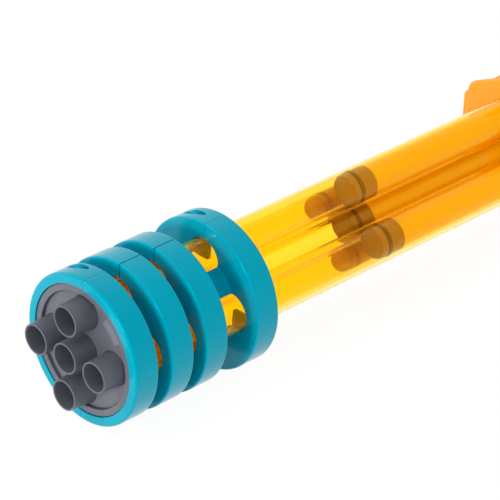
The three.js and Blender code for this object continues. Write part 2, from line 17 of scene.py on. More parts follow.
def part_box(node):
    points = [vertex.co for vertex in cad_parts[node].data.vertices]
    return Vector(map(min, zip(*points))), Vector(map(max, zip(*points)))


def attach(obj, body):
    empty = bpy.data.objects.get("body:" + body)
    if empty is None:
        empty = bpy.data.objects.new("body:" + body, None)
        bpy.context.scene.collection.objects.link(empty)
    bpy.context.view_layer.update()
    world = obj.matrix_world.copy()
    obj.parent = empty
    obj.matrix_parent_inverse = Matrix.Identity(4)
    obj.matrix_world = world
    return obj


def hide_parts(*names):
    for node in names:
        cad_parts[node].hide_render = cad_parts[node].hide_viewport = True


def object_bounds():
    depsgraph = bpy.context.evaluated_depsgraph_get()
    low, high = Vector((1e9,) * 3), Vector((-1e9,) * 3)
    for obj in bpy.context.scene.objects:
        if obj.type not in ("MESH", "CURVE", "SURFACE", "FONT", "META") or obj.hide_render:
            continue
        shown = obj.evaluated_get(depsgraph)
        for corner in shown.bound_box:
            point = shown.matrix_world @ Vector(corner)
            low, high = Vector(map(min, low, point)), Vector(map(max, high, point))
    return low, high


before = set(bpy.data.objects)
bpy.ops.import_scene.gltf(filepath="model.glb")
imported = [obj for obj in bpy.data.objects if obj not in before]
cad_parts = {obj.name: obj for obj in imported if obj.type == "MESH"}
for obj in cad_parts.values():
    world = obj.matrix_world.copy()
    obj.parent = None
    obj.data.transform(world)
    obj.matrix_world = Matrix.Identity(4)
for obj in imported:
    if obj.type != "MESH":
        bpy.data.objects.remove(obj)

MM = 0.001
CAD_BOX = [list(corner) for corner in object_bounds()]

# %% [markdown]
# ## Places that come from the frame
#
# All pieces are drawn in millimetres, with X counted from the mouths of the nozzles and with Y
# and Z counted from the middle barrel's axis. `spot` turns such a point into the frame. The
# lengths and radii are read from the solids, so a piece always fits the one that it stands for.
# Pieces that touch on the toy are a seat gap apart, as their solids are.

# %% Read the main sizes
SEATS = ("center", "top", "bottom", "left", "right")
SEAT_GAP = 0.3
MOUTH_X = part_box("nozzle_center")[0].x
AXIS_Z = sum(corner.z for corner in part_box("barrel_center")) / 2


def spot(x, y, z):
    return Vector((MOUTH_X + x * MM, y * MM, AXIS_Z + z * MM))


def placed(name, data):
    """A new object in the scene."""
    thing = bpy.data.objects.new(name, data)
    bpy.context.scene.collection.objects.link(thing)
    return thing


def reach(node, axis=0):
    """Lowest and highest place of a node along an axis, in the drawing's millimetres."""
    zero = (MOUTH_X, 0, AXIS_Z)[axis]
    return [(corner[axis] - zero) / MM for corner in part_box(node)]


def middle(node, axis):
    return sum(reach(node, axis)) / 2


def radius_of(node):
    low, high = reach(node, 2)
    return (high - low) / 2


seat_place = {seat: (middle("barrel_" + seat, 1), middle("barrel_" + seat, 2)) for seat in SEATS}
barrel_radius = radius_of("barrel_center")
barrel_front, barrel_back = reach("barrel_center")
plunger_radius = radius_of("plunger_center")
plunger_front, plunger_back = reach("plunger_center")
housing_front, housing_back = reach("housing_left")
hub_front, grip_back = reach("handle_left")
print("barrel radius", round(barrel_radius, 2), "plunger radius", round(plunger_radius, 2))

# %% [markdown]
# ## Camera, light and floor
#
# The photograph was taken with a long lens from the front left and above. The camera's place and
# directions were found by fitting the circles of the nozzles, the plate and the rings. A soft lamp
# stands low in front of the toy, a second one stands higher on its right hand side, and the white
# world does the rest. The floor and the world show as plain white to the camera, and also to glossy
# and transmitted rays, so that the clear tubes look through to white. The floor still takes a faint
# shadow.

# %% Camera
PHOTO_LENS = 235.1
EYE = Vector((-878.4, -1014.6, 909.6))
LOOK = Vector((0.59574, 0.60187, -0.53183))
RIGHT = Vector((0.72727, -0.68524, 0.03919))
NEAR_CLIP, FAR_CLIP = 0.1, 100
CAGE_MIDDLE = spot(60, 0, 0)


def make_camera():
    data = bpy.data.cameras.new("camera")
    data.lens = PHOTO_LENS
    data.clip_start = NEAR_CLIP
    data.clip_end = FAR_CLIP
    camera = placed("camera", data)
    back = -LOOK.normalized()
    right = (RIGHT - back * RIGHT.dot(back)).normalized()
    up = back.cross(right)
    axes = Matrix((right, up, back)).transposed()
    camera.matrix_world = Matrix.Translation(spot(*EYE)) @ axes.to_4x4()
    bpy.context.scene.camera = camera
    return camera


camera = make_camera()
print("camera stands", round((camera.location - CAGE_MIDDLE).length, 2), "m from the cage")

# %% Light
bpy.context.scene.view_settings.view_transform = "Standard"
WORLD_LIGHT = 0.7
CLEAR_BOUNCES = 40
bpy.context.scene.cycles.max_bounces = CLEAR_BOUNCES
bpy.context.scene.cycles.transmission_bounces = CLEAR_BOUNCES


def seen_directly(nodes, links):
    """1 for camera, glossy and transmitted rays, otherwise 0."""
    path = nodes.new("ShaderNodeLightPath")
    seen = path.outputs["Is Camera Ray"]
    for ray in ("Is Glossy Ray", "Is Transmission Ray"):
        either = nodes.new("ShaderNodeMath")
        either.operation = "MAXIMUM"
        links.new(seen, either.inputs[0])
        links.new(path.outputs[ray], either.inputs[1])
        seen = either.outputs[0]
    return seen


def mixed(nodes, links, share, first, second):
    mix = nodes.new("ShaderNodeMixShader")
    links.new(share, mix.inputs["Fac"])
    links.new(first.outputs[0], mix.inputs[1])
    links.new(second.outputs[0], mix.inputs[2])
    return mix.outputs[0]


def make_world():
    world = bpy.data.worlds.new("white_studio")
    bpy.context.scene.world = world
    world.use_nodes = True
    nodes, links = world.node_tree.nodes, world.node_tree.links
    nodes.clear()
    light = nodes.new("ShaderNodeBackground")
    light.inputs["Color"].default_value = (1, 1, 1, 1)
    light.inputs["Strength"].default_value = WORLD_LIGHT
    white = nodes.new("ShaderNodeBackground")
    white.inputs["Color"].default_value = (1, 1, 1, 1)
    mix = mixed(nodes, links, seen_directly(nodes, links), light, white)
    out = nodes.new("ShaderNodeOutputWorld")
    links.new(mix, out.inputs["Surface"])


LAMP_DISTANCE = 2.5
LAMP_SIZE = 0.6


def make_lamp(name, left_turn, height_angle, power):
    """A round lamp that faces the cage, its angles in degrees from straight ahead and level."""
    turn, rise = math.radians(left_turn), math.radians(height_angle)
    level = math.cos(rise)
    toward = Vector((-math.cos(turn) * level, -math.sin(turn) * level, math.sin(rise)))
    data = bpy.data.lights.new(name, "AREA")
    data.shape = "DISK"
    data.size = LAMP_SIZE
    data.energy = power
    lamp = placed(name, data)
    lamp.location = CAGE_MIDDLE + toward * LAMP_DISTANCE
    lamp.rotation_mode = "QUATERNION"
    lamp.rotation_quaternion = (-toward).to_track_quat("-Z", "Y")
    return lamp


make_world()
make_lamp("front_lamp", left_turn=10, height_angle=15, power=25.5)
make_lamp("right_lamp", left_turn=-40, height_angle=35, power=12)

# %% Floor
FLOOR_HALF = 30
FLOOR_DROP = 0.0002
FLOOR_TONE = (0.9, 0.9, 0.9, 1)
FLOOR_WHITE = 1.05
FLOOR_SHOWS_WHITE = 0.9


def make_floor():
    mesh = bpy.data.meshes.new("floor")
    half = FLOOR_HALF
    corners = [(-half, -half, 0), (half, -half, 0), (half, half, 0), (-half, half, 0)]
    mesh.from_pydata(corners, [], [(0, 1, 2, 3)])
    floor = placed("floor", mesh)
    floor.location.z = CAD_BOX[0][2] - FLOOR_DROP
    material = bpy.data.materials.new("pale_floor")
    material.use_nodes = True
    nodes, links = material.node_tree.nodes, material.node_tree.links
    nodes.clear()
    paper = nodes.new("ShaderNodeBsdfDiffuse")
    paper.inputs["Color"].default_value = FLOOR_TONE
    white = nodes.new("ShaderNodeEmission")
    white.inputs["Color"].default_value = (1, 1, 1, 1)
    white.inputs["Strength"].default_value = FLOOR_WHITE
    share = nodes.new("ShaderNodeMath")
    share.operation = "MULTIPLY"
    share.inputs[1].default_value = FLOOR_SHOWS_WHITE
    links.new(seen_directly(nodes, links), share.inputs[0])
    mix = mixed(nodes, links, share.outputs[0], paper, white)
    out = nodes.new("ShaderNodeOutputMaterial")
    links.new(mix, out.inputs["Surface"])
    mesh.materials.append(material)
    return floor


floor = make_floor()
print("floor at", round(floor.location.z, 4))

# %% [markdown]
# ## Finishes
#
# Nearly every visible piece is moulded plastic, so two effects return in several finishes. The
# first is the skin of a moulding: slow changes of tone where the plastic flowed, and a very fine
# grain. The second is handling: soft smears that change the gloss, and fine streaks that change the
# tone. Each is a node group with named inputs, and each finish places it with its own values.


# %% Node group helpers
def linear(red, green, blue):
    """A colour as it is seen on screen, 0 to 255, as Blender's linear values."""
    values = []
    for part in (red, green, blue):
        share = part / 255
        values.append(share / 12.92 if share <= 0.04045 else ((share + 0.055) / 1.055) ** 2.4)
    return (*values, 1)


COLOR, VALUE, VECTOR = "NodeSocketColor", "NodeSocketFloat", "NodeSocketVector"


def new_group(name, inputs, outputs):
    """A node group whose sockets are given as a kind for each title."""
    group = bpy.data.node_groups.new(name, "ShaderNodeTree")
    for title, kind in inputs.items():
        group.interface.new_socket(title, in_out="INPUT", socket_type=kind)
    for title, kind in outputs.items():
        group.interface.new_socket(title, in_out="OUTPUT", socket_type=kind)
    start = group.nodes.new("NodeGroupInput")
    end = group.nodes.new("NodeGroupOutput")
    return group, start, end


def add_noise(nodes, links, vector, scale, detail=3.0, rough=0.5):
    noise = nodes.new("ShaderNodeTexNoise")
    noise.inputs["Detail"].default_value = detail
    noise.inputs["Roughness"].default_value = rough
    links.new(vector, noise.inputs["Vector"])
    if isinstance(scale, (int, float)):
        noise.inputs["Scale"].default_value = scale
    else:
        links.new(scale, noise.inputs["Scale"])
    return noise.outputs["Fac"]


def add_range(nodes, links, value, low, high, to_low=0.0, to_high=1.0):
    ramp = nodes.new("ShaderNodeMapRange")
    ramp.inputs["From Min"].default_value = low
    ramp.inputs["From Max"].default_value = high
    for title, target in (("To Min", to_low), ("To Max", to_high)):
        if isinstance(target, (int, float)):
            ramp.inputs[title].default_value = target
        else:
            links.new(target, ramp.inputs[title])
    links.new(value, ramp.inputs["Value"])
    return ramp.outputs["Result"]


# %% The skin of a moulding
FLOW_SCALE, FLOW_WINDOW = 28, (0.32, 0.68)
CLOUD_SCALE, CLOUD_WINDOW = 140, (0.3, 0.7)


def make_moulded_skin():
    group, start, end = new_group(
        "moulded_skin",
        {
            "Light Tone": COLOR,
            "Deep Tone": COLOR,
            "Low Roughness": VALUE,
            "High Roughness": VALUE,
            "Grain Scale": VALUE,
        },
        {"Color": COLOR, "Roughness": VALUE, "Height": VALUE},
    )
    nodes, links = group.nodes, group.links
    place = nodes.new("ShaderNodeTexCoord").outputs["Object"]
    slow = add_noise(nodes, links, place, FLOW_SCALE, detail=4)
    flow = add_range(nodes, links, slow, *FLOW_WINDOW)
    tone = nodes.new("ShaderNodeMix")
    tone.data_type = "RGBA"
    links.new(flow, tone.inputs["Factor"])
    links.new(start.outputs["Deep Tone"], tone.inputs["A"])
    links.new(start.outputs["Light Tone"], tone.inputs["B"])
    links.new(tone.outputs["Result"], end.inputs["Color"])
    cloud = add_noise(nodes, links, place, CLOUD_SCALE, detail=5, rough=0.6)
    gloss = start.outputs["Low Roughness"], start.outputs["High Roughness"]
    rough = add_range(nodes, links, cloud, *CLOUD_WINDOW, *gloss)
    links.new(rough, end.inputs["Roughness"])
    grain = add_noise(nodes, links, place, start.outputs["Grain Scale"], detail=2)
    links.new(grain, end.inputs["Height"])
    return group


# %% Handling marks
SMEAR_SCALE, SMEAR_WINDOW = 45, (0.45, 0.75)
STREAK_SCALE, STREAK_WINDOW = 260, (0.35, 0.7)


def make_handling_marks():
    group, start, end = new_group(
        "handling_marks",
        {"Clean Roughness": VALUE, "Smear Roughness": VALUE, "Along": VECTOR},
        {"Roughness": VALUE, "Streak": VALUE},
    )
    nodes, links = group.nodes, group.links
    place = nodes.new("ShaderNodeTexCoord").outputs["Object"]
    stretch = nodes.new("ShaderNodeVectorMath")
    stretch.operation = "MULTIPLY"
    links.new(place, stretch.inputs[0])
    links.new(start.outputs["Along"], stretch.inputs[1])
    drawn = stretch.outputs["Vector"]
    soft = add_noise(nodes, links, place, SMEAR_SCALE, detail=4)
    smear = add_range(nodes, links, soft, *SMEAR_WINDOW)
    gloss = start.outputs["Clean Roughness"], start.outputs["Smear Roughness"]
    rough = add_range(nodes, links, smear, 0, 1, *gloss)
    links.new(rough, end.inputs["Roughness"])
    fine = add_noise(nodes, links, drawn, STREAK_SCALE, detail=3)
    streak = add_range(nodes, links, fine, *STREAK_WINDOW)
    links.new(streak, end.inputs["Streak"])
    return group


moulded_skin = make_moulded_skin()
handling_marks = make_handling_marks()
print("node groups:", [group.name for group in bpy.data.node_groups])

# %% [markdown]
# The opaque plastics share one recipe: two close tones, a range of gloss, a grain and its bump. The
# bright edges in the photograph take the colour of the dye, so the glint of the teal and orange
# finishes is tinted. The greys of the plate and its nozzles differ by a few levels; the tab's
# lighter grey is painted light, as if the tab were lit beside a shaded floor. The pistons show
# brown through the barrels, so theirs is a warm tone.

# %% Opaque plastics
WHITE_GLINT = (1, 1, 1, 1)
WARM_GLINT = (1, 0.6, 0.2, 1)
CYAN_GLINT = (0, 0.75, 1, 1)
GRAIN_DEPTH = 0.05


def new_finish(name, slot):
    """A finish for pieces of one of the record's material slots."""
    material = bpy.data.materials.new(name)
    material["slot"] = slot
    material.use_nodes = True
    nodes, links = material.node_tree.nodes, material.node_tree.links
    shader = nodes["Principled BSDF"]
    return material, nodes, links, shader


def add_bump(nodes, links, shader, height, strength):
    bump = nodes.new("ShaderNodeBump")
    bump.inputs["Strength"].default_value = strength
    bump.inputs["Distance"].default_value = GRAIN_DEPTH * MM
    links.new(height, bump.inputs["Height"])
    links.new(bump.outputs["Normal"], shader.inputs["Normal"])


def moulded_finish(name, slot, light_tone, deep_tone, gloss, grain, bump, glint=WHITE_GLINT):
    """A moulded plastic, its two tones as they are seen on screen."""
    material, nodes, links, shader = new_finish(name, slot)
    skin = nodes.new("ShaderNodeGroup")
    skin.node_tree = moulded_skin
    skin.inputs["Light Tone"].default_value = linear(*light_tone)
    skin.inputs["Deep Tone"].default_value = linear(*deep_tone)
    skin.inputs["Low Roughness"].default_value = gloss[0]
    skin.inputs["High Roughness"].default_value = gloss[1]
    skin.inputs["Grain Scale"].default_value = grain
    links.new(skin.outputs["Color"], shader.inputs["Base Color"])
    links.new(skin.outputs["Roughness"], shader.inputs["Roughness"])
    add_bump(nodes, links, shader, skin.outputs["Height"], bump)
    shader.inputs["Specular Tint"].default_value = glint
    return material


teal_finish = moulded_finish(
    "teal_finish", "teal_plastic", (0, 167, 192), (0, 161, 185),
    gloss=(0.12, 0.18), grain=1500, bump=0.06, glint=CYAN_GLINT,
)
orange_finish = moulded_finish(
    "orange_finish", "orange_plastic", (255, 173, 51), (253, 166, 45),
    gloss=(0.3, 0.4), grain=1500, bump=0.12, glint=WARM_GLINT,
)
grey_finish = moulded_finish(
    "grey_finish", "grey_plastic", (110, 111, 120), (96, 97, 106),
    gloss=(0.38, 0.48), grain=1700, bump=0.2,
)
nozzle_finish = moulded_finish(
    "nozzle_finish", "grey_plastic", (101, 103, 112), (88, 90, 99),
    gloss=(0.38, 0.48), grain=1700, bump=0.2,
)
# Painted light: the tab's grey is lighter than the plate's, as if the tab were lit while the floor
# beside it is in shade.
lit_tab_finish = moulded_finish(
    "lit_tab_finish", "grey_plastic", (120, 119, 132), (112, 111, 124),
    gloss=(0.3, 0.4), grain=1700, bump=0.1,
)
piston_finish = moulded_finish(
    "piston_finish", "grey_plastic", (202, 144, 136), (192, 136, 128),
    gloss=(0.4, 0.5), grain=1700, bump=0.2,
)
rubber_finish = moulded_finish(
    "rubber_finish", "seal_rubber", (118, 88, 80), (106, 78, 70),
    gloss=(0.55, 0.7), grain=2200, bump=0.3,
)
print("opaque finishes:", [material.name for material in bpy.data.materials if "slot" in material])

# %% [markdown]
# The barrels are clear: their plastic lets light through and dyes it orange, and their marks run
# along the tube. The plunger tubes are cloudy, because the photograph shows nothing through them.
# Dye also scatters light inside the plastic. To follow every such ray would be slow, so a small
# painted glow of the dye's colour stands for it, and the tubes shine a little though they are no
# lamp.

# %% Clear and cloudy orange plastic
AMBER_GLINT = (1, 0.45, 0, 1)
# Painted light: both tubes glow in an orange of their own, the cloudy plungers far more than the
# barrels.
BARREL_GLOW_TONE, BARREL_GLOW = (1, 0.3, 0, 1), 0.03
PLUNGER_GLOW_TONE, PLUNGER_GLOW = (1, 0.33, 0, 1), 0.24
PLASTIC_IOR = 1.5
ALONG_THE_TUBE = (0.03, 1.0, 1.0)


def marked_finish(name, slot, light_tone, deep_tone, gloss, along):
    """A finish whose tone and gloss follow the handling marks."""
    material, nodes, links, shader = new_finish(name, slot)
    marks = nodes.new("ShaderNodeGroup")
    marks.node_tree = handling_marks
    marks.inputs["Clean Roughness"].default_value = gloss[0]
    marks.inputs["Smear Roughness"].default_value = gloss[1]
    marks.inputs["Along"].default_value = along
    tone = nodes.new("ShaderNodeMix")
    tone.data_type = "RGBA"
    tone.inputs["A"].default_value = linear(*light_tone)
    tone.inputs["B"].default_value = linear(*deep_tone)
    links.new(marks.outputs["Streak"], tone.inputs["Factor"])
    links.new(tone.outputs["Result"], shader.inputs["Base Color"])
    links.new(marks.outputs["Roughness"], shader.inputs["Roughness"])
    return material, shader


def add_glow(shader, glow_tone, strength):
    """Painted light: a little glow of its own, standing in for the light that the dye in the
    plastic scatters.
    """
    shader.inputs["Emission Color"].default_value = glow_tone
    shader.inputs["Emission Strength"].default_value = strength


def make_barrel_finish():
    material, shader = marked_finish(
        "barrel_finish", "clear_orange", (255, 239, 116), (255, 237, 110),
        gloss=(0.015, 0.06), along=ALONG_THE_TUBE,
    )
    shader.inputs["Transmission Weight"].default_value = 1.0
    shader.inputs["IOR"].default_value = PLASTIC_IOR
    shader.inputs["Specular Tint"].default_value = AMBER_GLINT
    # Painted light: a faint orange glow on the clear barrels.
    add_glow(shader, BARREL_GLOW_TONE, BARREL_GLOW)
    return material


def make_plunger_finish():
    material = moulded_finish(
        "plunger_finish", "clear_orange", (255, 212, 10), (255, 208, 6),
        gloss=(0.3, 0.4), grain=1500, bump=0.05, glint=WARM_GLINT,
    )
    # Painted light: the cloudy plungers glow, so they look lit inside the barrels.
    add_glow(material.node_tree.nodes["Principled BSDF"], PLUNGER_GLOW_TONE, PLUNGER_GLOW)
    return material


barrel_finish = make_barrel_finish()
plunger_finish = make_plunger_finish()
print("orange finishes:", barrel_finish.name, plunger_finish.name)

# %% [markdown]
# The screws are plated steel. It carries the same handling marks as the barrels, but finer and
# duller, and without a direction.

# %% Plated steel
FINE_MARKS = (6.0, 6.0, 6.0)


def make_steel_finish():
    material, shader = marked_finish(
        "steel_finish", "screw_steel", (196, 198, 202), (168, 171, 176),
        gloss=(0.25, 0.45), along=FINE_MARKS,
    )
    shader.inputs["Metallic"].default_value = 1.0
    return material


steel_finish = make_steel_finish()
print("metal:", steel_finish.name)

# %% [markdown]
# ## Mesh helpers
#
# Most of the toy is turned or extruded, so a few small builders make nearly everything. `turned`
# spins a profile about the axis of a barrel. `lofted` carries an outline along X or Y and draws
# it in near the ends, which rounds the edges as a mould does. `carved` cuts or joins meshes with
# Blender's exact booleans. `soften` rounds the corners of a profile or an outline, and `rounded`
# does so for corners that are written with the size of their round.

# %% Profiles and outlines
SHARPEST_LEAN = 0.4
END_STEPS = 5


def soften(points, sizes, closed=False, steps=5):
    """Round each corner, where a size is the length that the round takes from both sides."""
    corners = [Vector(point) for point in points]
    sizes = sizes if isinstance(sizes, (list, tuple)) else [sizes] * len(corners)
    smooth = []
    for i, corner in enumerate(corners):
        at_end = not closed and i in (0, len(corners) - 1)
        if at_end or sizes[i] == 0:
            smooth.append(corner)
            continue
        before, after = corners[i - 1], corners[(i + 1) % len(corners)]
        enter = corner + (before - corner).normalized() * sizes[i]
        leave = corner + (after - corner).normalized() * sizes[i]
        for step in range(steps + 1):
            share = step / steps
            smooth.append(enter.lerp(corner, share).lerp(corner.lerp(leave, share), share))
    return smooth


def rounded(corners, closed=False, steps=5):
    """Soften a profile whose corners are written as (place, radius, size of the round)."""
    points = [(place, radius) for place, radius, _ in corners]
    return soften(points, [size for _, _, size in corners], closed, steps)


def straight(front, back, radius):
    """The profile of a plain cylinder."""
    return [(front, 0), (front, radius), (back, radius), (back, 0)]


def drawn_in(outline, inset):
    """A counterclockwise outline moved inwards, or outwards for a negative inset."""
    moved = []
    for i, point in enumerate(outline):
        into = (point - outline[i - 1]).normalized()
        out = (outline[(i + 1) % len(outline)] - point).normalized()
        shift = Vector((-into.y - out.y, into.x + out.x)).normalized()
        lean = max(SHARPEST_LEAN, shift.dot(Vector((-into.y, into.x))))
        moved.append(point + shift * (inset / lean))
    return moved


def round_ends(low, high, size):
    """Places and insets of a loft whose two ends are rounded."""
    stations = []
    for step in range(END_STEPS + 1):
        angle = math.pi / 2 * step / END_STEPS
        stations.append((low + size * (1 - math.cos(angle)), size * (1 - math.sin(angle))))
    mirror = [(low + high - place, inset) for place, inset in reversed(stations)]
    return stations + mirror


def flared_ends(low, high, size, beyond):
    """Places and insets of a cutter that leaves rounded edges at both ends of its hole."""
    inner = [(place, -inset) for place, inset in round_ends(low, high, size)]
    return [(low - beyond, -size), *inner, (high + beyond, -size)]


# %% Builders
TURN_STEPS = 96
FINE_STEPS = 160
WELD, MERGE = 1e-7, 1e-6
ON_AXIS = 1e-6
FIRST_PHASE, PHASE_STEP = 0.011, 0.007


def as_object(name, bm):
    bmesh.ops.remove_doubles(bm, verts=bm.verts, dist=WELD)
    bmesh.ops.recalc_face_normals(bm, faces=bm.faces)
    mesh = bpy.data.meshes.new(name)
    bm.to_mesh(mesh)
    bm.free()
    return placed(name, mesh)


def site(place, side, height, across):
    """A section's point at a place along X, or along Y for a piece that lies across the toy."""
    return spot(side, place, height) if across else spot(place, side, height)


def turned(name, profile, seat=(0, 0), closed=False, steps=TURN_STEPS, across=False, phase=0.0):
    """Spin a profile of (place, radius) points about a line along X, or across the toy along Y."""
    bm = bmesh.new()
    rings = []
    for place, radius in profile:
        ring = []
        count = 1 if radius < ON_AXIS else steps
        for i in range(count):
            angle = phase + 2 * math.pi * i / count
            side = seat[0] + radius * math.sin(angle)
            height = seat[1] + radius * math.cos(angle)
            ring.append(bm.verts.new(site(place, side, height, across)))
        rings.append(ring)
    pairs = list(zip(rings, rings[1:]))
    if closed:
        pairs.append((rings[-1], rings[0]))
    for first, second in pairs:
        for i in range(steps):
            j = (i + 1) % steps
            order = ((first, i), (first, j), (second, j), (second, i))
            corners = list(dict.fromkeys(ring[k % len(ring)] for ring, k in order))
            if len(corners) > 2:
                bm.faces.new(corners)
    return as_object(name, bm)


def lofted(name, outline, stations, across=False):
    """Carry an outline along X, or across the toy along Y, through (place, inset) stations."""
    bm = bmesh.new()
    rings = []
    for place, inset in stations:
        points = drawn_in(outline, inset) if inset else outline
        rings.append([bm.verts.new(site(place, *point, across)) for point in points])
    count = len(outline)
    for first, second in zip(rings, rings[1:]):
        for i in range(count):
            j = (i + 1) % count
            bm.faces.new((first[i], first[j], second[j], second[i]))
    bm.faces.new(rings[0])
    bm.faces.new(rings[-1])
    return as_object(name, bm)


def slab(name, low, high):
    """A plain block between two corners, used only as a cutter."""
    (x_low, y_low, z_low), (x_high, y_high, z_high) = low, high
    corners = ((y_low, z_low), (y_high, z_low), (y_high, z_high), (y_low, z_high))
    return lofted(name, [Vector(corner) for corner in corners], [(x_low, 0), (x_high, 0)])


def carved(piece, tools, operation="DIFFERENCE"):
    """Cut all the tools out of a piece, or join or intersect them, and remove the tools."""
    bench = bpy.data.collections.new("bench")
    for tool in tools:
        bench.objects.link(tool)
    step = piece.modifiers.new("carve", "BOOLEAN")
    step.operation = operation
    step.solver = "EXACT"
    step.operand_type = "COLLECTION"
    step.collection = bench
    bpy.context.view_layer.update()
    depsgraph = bpy.context.evaluated_depsgraph_get()
    result = bpy.data.meshes.new_from_object(piece.evaluated_get(depsgraph))
    piece.modifiers.clear()
    bm = bmesh.new()
    bm.from_mesh(result)
    bmesh.ops.remove_doubles(bm, verts=bm.verts, dist=MERGE)
    bmesh.ops.dissolve_degenerate(bm, edges=bm.edges, dist=MERGE)
    bm.to_mesh(result)
    bm.free()
    old = piece.data
    piece.data = result
    bpy.data.meshes.remove(old)
    for tool in tools:
        bpy.data.objects.remove(tool)
    bpy.data.collections.remove(bench)
    return piece


def bores(name, profile):
    """A turned cutter at every barrel's seat, each turned a little so that no edges coincide."""
    return [
        turned(name, profile, seat_place[seat], phase=FIRST_PHASE + PHASE_STEP * i)
        for i, seat in enumerate(SEATS)
    ]


CUT_REACH = 900
TIGHT_SEAM = 0.18


def halves(piece, title):
    """Split a shell on the upright plane, with a thin seam between the halves."""
    right = placed(f"visual_{title}_right", piece.data.copy())
    piece.name = f"visual_{title}_left"
    far, seam = CUT_REACH, TIGHT_SEAM / 2
    low = slab("left_side", (-far, -far, -far), (far, -seam, far))
    high = slab("right_side", (-far, seam, -far), (far, far, far))
    return carved(piece, [low], "INTERSECT"), carved(right, [high], "INTERSECT")


# %% Finishing a piece
SMOOTH_ANGLE = math.radians(32)


def dressed(piece, node, body, material, edge=0.0):
    """Give a piece its finish and smooth shading, and let it stand for its node."""
    mesh = piece.data
    mesh.materials.clear()
    mesh.materials.append(material)
    for face in mesh.polygons:
        face.use_smooth = True
        face.material_index = 0
    if edge:
        soft = piece.modifiers.new("soft_edge", "BEVEL")
        soft.width = edge * MM
        soft.segments = 2
        soft.limit_method = "ANGLE"
        soft.angle_limit = SMOOTH_ANGLE
        soft.use_clamp_overlap = True
    mesh.set_sharp_from_angle(angle=SMOOTH_ANGLE)
    even = piece.modifiers.new("even_shading", "WEIGHTED_NORMAL")
    even.keep_sharp = True
    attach(piece, body)
    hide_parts(node)
    return piece


def dress_halves(shells, title, body, material, edge):
    for shell, side in zip(shells, ("_left", "_right")):
        dressed(shell, title + side, body, material, edge)
        print(title + side, len(shell.data.polygons), "faces")


FIXED = "barrel_body"
MOVING = "plunger_body"
print("mesh helpers are ready")

# %% [markdown]
# ## Nozzles
#
# Each nozzle is a thin tube of grey plastic that widens a little towards its base, because a
# mould needs draft. The lip is rounded and catches the light. Inside, the bore ends at a floor
# with a small outlet, which makes the jet. One profile, turned five times, makes them all.

# %% Turn the nozzles
NOZZLE_MOUTH = 8.5
NOZZLE_BASE = 9.0
NOZZLE_BORE = 7.5
BORE_DRAFT = 0.3
OUTLET_RADIUS = 2.0
SPIGOT_RADIUS = 9.4
RIM_HEIGHT = 1.8
NOZZLE_FLOOR = 3
RIM_X, PLATE_BACK_X = reach("front_plate")
PLATE_FLOOR_X = RIM_X + RIM_HEIGHT
FLANGE_FRONT_X = PLATE_BACK_X + SEAT_GAP
FLANGE_BACK_X = barrel_front - SEAT_GAP
NOZZLE_FLOOR_X = FLANGE_BACK_X - NOZZLE_FLOOR
NOZZLE_BACK_X = reach("nozzle_center")[1]


def nozzle_profile():
    corners = [
        (NOZZLE_BACK_X, OUTLET_RADIUS, 0),
        (NOZZLE_FLOOR_X, OUTLET_RADIUS, 0.5),
        (NOZZLE_FLOOR_X, NOZZLE_BORE - BORE_DRAFT, 1.2),
        (0, NOZZLE_BORE, 0.35),
        (0, NOZZLE_MOUTH, 0.35),
        (PLATE_FLOOR_X, NOZZLE_BASE, 0),
        (FLANGE_FRONT_X, NOZZLE_BASE, 0),
        (FLANGE_FRONT_X, barrel_radius, 0.3),
        (FLANGE_BACK_X, barrel_radius, 0.3),
        (FLANGE_BACK_X, SPIGOT_RADIUS, 0),
        (NOZZLE_BACK_X, SPIGOT_RADIUS, 0.4),
    ]
    return rounded(corners, closed=True)


for seat in SEATS:
    nozzle = turned("visual_nozzle_" + seat, nozzle_profile(), seat_place[seat], closed=True)
    dressed(nozzle, "nozzle_" + seat, FIXED, nozzle_finish)
print("nozzles:", len(SEATS), "of", len(nozzle.data.polygons), "faces")

# %% [markdown]
# ## Front plate
#
# The plate is a round cover with a raised flat rim. A thin groove runs round the foot of the rim,
# and in one place a short arc of the rim, the tab, reaches further in. The plate is turned, the tab
# is lofted on, and five holes are cut for the nozzles. The tab's faces take a lighter grey than the
# floor beside it: painted light, for a tab that catches light while the sunken floor lies in shade.

# %% Make the front plate
PLATE_RADIUS = 35.5
PLATE_EDGE_RADIUS = radius_of("front_plate")
RIM_INNER = 31.9
RIM_GROOVE_WIDTH = 0.5
RIM_GROOVE_DEPTH = 0.6
TAB_WIDTH = 4.3
TAB_LENGTH = 14.7
TAB_ANGLE = math.radians(135)
TAB_ROOT = 1
TAB_SET_BACK = 0.02
TAB_EDGE = ((0, 0.25), (0.1, 0.08), (0.3, 0))
TAB_MARGIN, TAB_LIFT = 0.05, 0.3
NOZZLE_HOLE = 9.25
BEYOND_PLATE = 30


def front_plate_profile():
    corners = [
        (PLATE_FLOOR_X, 0, 0),
        (PLATE_FLOOR_X, RIM_INNER - RIM_GROOVE_WIDTH, 0.2),
        (PLATE_FLOOR_X + RIM_GROOVE_DEPTH, RIM_INNER - RIM_GROOVE_WIDTH, 0),
        (PLATE_FLOOR_X + RIM_GROOVE_DEPTH, RIM_INNER, 0),
        (RIM_X, RIM_INNER, 0.35),
        (RIM_X, PLATE_RADIUS, 0.35),
        (PLATE_FLOOR_X, PLATE_RADIUS, 0),
        (PLATE_FLOOR_X, PLATE_EDGE_RADIUS, 0.3),
        (PLATE_BACK_X, PLATE_EDGE_RADIUS, 0.3),
        (PLATE_BACK_X, 0, 0),
    ]
    return rounded(corners, steps=3)


def tab_outline(steps=12):
    """A short stretch of a flat ring, as a counterclockwise outline in Y and Z."""
    inner, outer = RIM_INNER - TAB_WIDTH, RIM_INNER + TAB_ROOT
    half = TAB_LENGTH / 2 / RIM_INNER
    turns = [TAB_ANGLE - half + 2 * half * i / steps for i in range(steps + 1)]
    far = [Vector((outer * math.cos(turn), outer * math.sin(turn))) for turn in turns]
    near = [Vector((inner * math.cos(turn), inner * math.sin(turn))) for turn in reversed(turns)]
    return far + near


